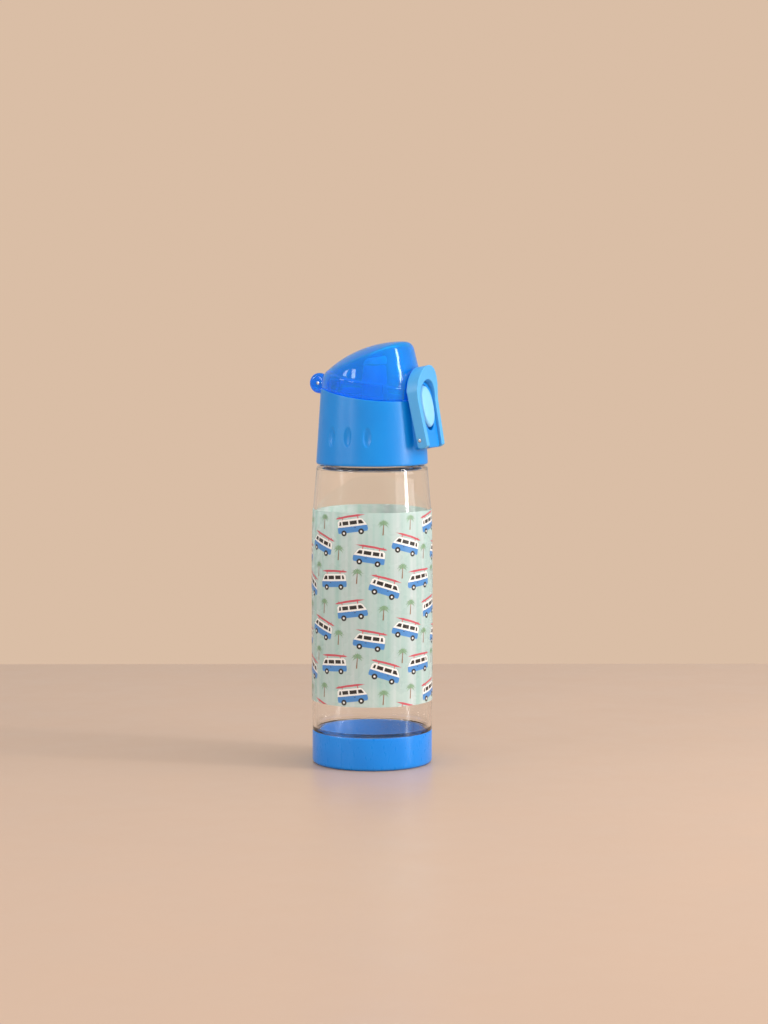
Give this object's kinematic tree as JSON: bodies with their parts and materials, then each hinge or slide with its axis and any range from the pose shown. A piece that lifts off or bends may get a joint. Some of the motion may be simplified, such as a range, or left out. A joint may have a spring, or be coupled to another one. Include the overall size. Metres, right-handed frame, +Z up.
{
  "type": "kids water bottle",
  "caption": "Clear drinking bottle with a press-on base cup, printed sleeve and screw-on lid with a hinged flip cap, release button and swing-over lock bail.",
  "frame": {"origin": "centre of the flat underside of the base cup, on the bottle's axis", "axes": "+Z up along the bottle, -Y towards the release button, +Y towards the cap's hinge"},
  "size_m": [0.0676, 0.074, 0.2348],
  "materials": {
    "base_blue": "satin",
    "lid_blue": "satin",
    "button_blue": "satin",
    "cap_blue": "polished, see-through",
    "clear_plastic": "polished, clear",
    "print_film": "printed film",
    "silicone": "matt",
    "latch_white": "matt",
    "steel": "plain"
  },
  "bodies": {
    "bottle": {"base_cup": "base_blue", "bottle_body": "clear_plastic", "printed_sleeve": "print_film"},
    "gasket": {"neck_gasket": "silicone"},
    "lid": {"lid_liner": "lid_blue", "lid_shell": "lid_blue", "spout": "base_blue", "vent_valve": "silicone", "hinge_pin": "steel", "torsion_spring": "steel", "button_spring": "steel", "bail_pin_left": "steel", "bail_pin_right": "steel"},
    "cap": {"flip_cap": "cap_blue", "cap_seal": "silicone"},
    "button": {"push_button": "button_blue", "latch_slider": "latch_white"},
    "bail": {"lock_bail": "lid_blue"}
  },
  "joints": [
    {"name": "lid_lift", "type": "slide", "parent": "bottle", "child": "gasket", "axis": [0, 0, 1], "range_m": [0, 0.024]},
    {"name": "lid_turn", "type": "hinge", "parent": "gasket", "child": "lid", "pos_m": [0, 0, 0.18], "axis": [0, 0, 1], "range_deg": [0, 720]},
    {"name": "cap_flip", "type": "hinge", "parent": "lid", "child": "cap", "pos_m": [0, 0.029, 0.2115], "axis": [-1, 0, 0], "range_deg": [0, 120]},
    {"name": "button_press", "type": "slide", "parent": "lid", "child": "button", "axis": [0, 0.9806, -0.1959], "range_m": [0, 0.0018], "stiffness_N_per_m": 600, "springref_m": -0.002, "deforming": ["button_spring"]},
    {"name": "bail_flip", "type": "hinge", "parent": "lid", "child": "bail", "pos_m": [0, -0.03454, 0.18101], "axis": [1, 0, 0], "range_deg": [0, 120]}
  ],
  "couplings": [
    {"joint": "lid_lift", "follows": "lid_turn", "m_per_rad": 0.0019099}
  ]
}
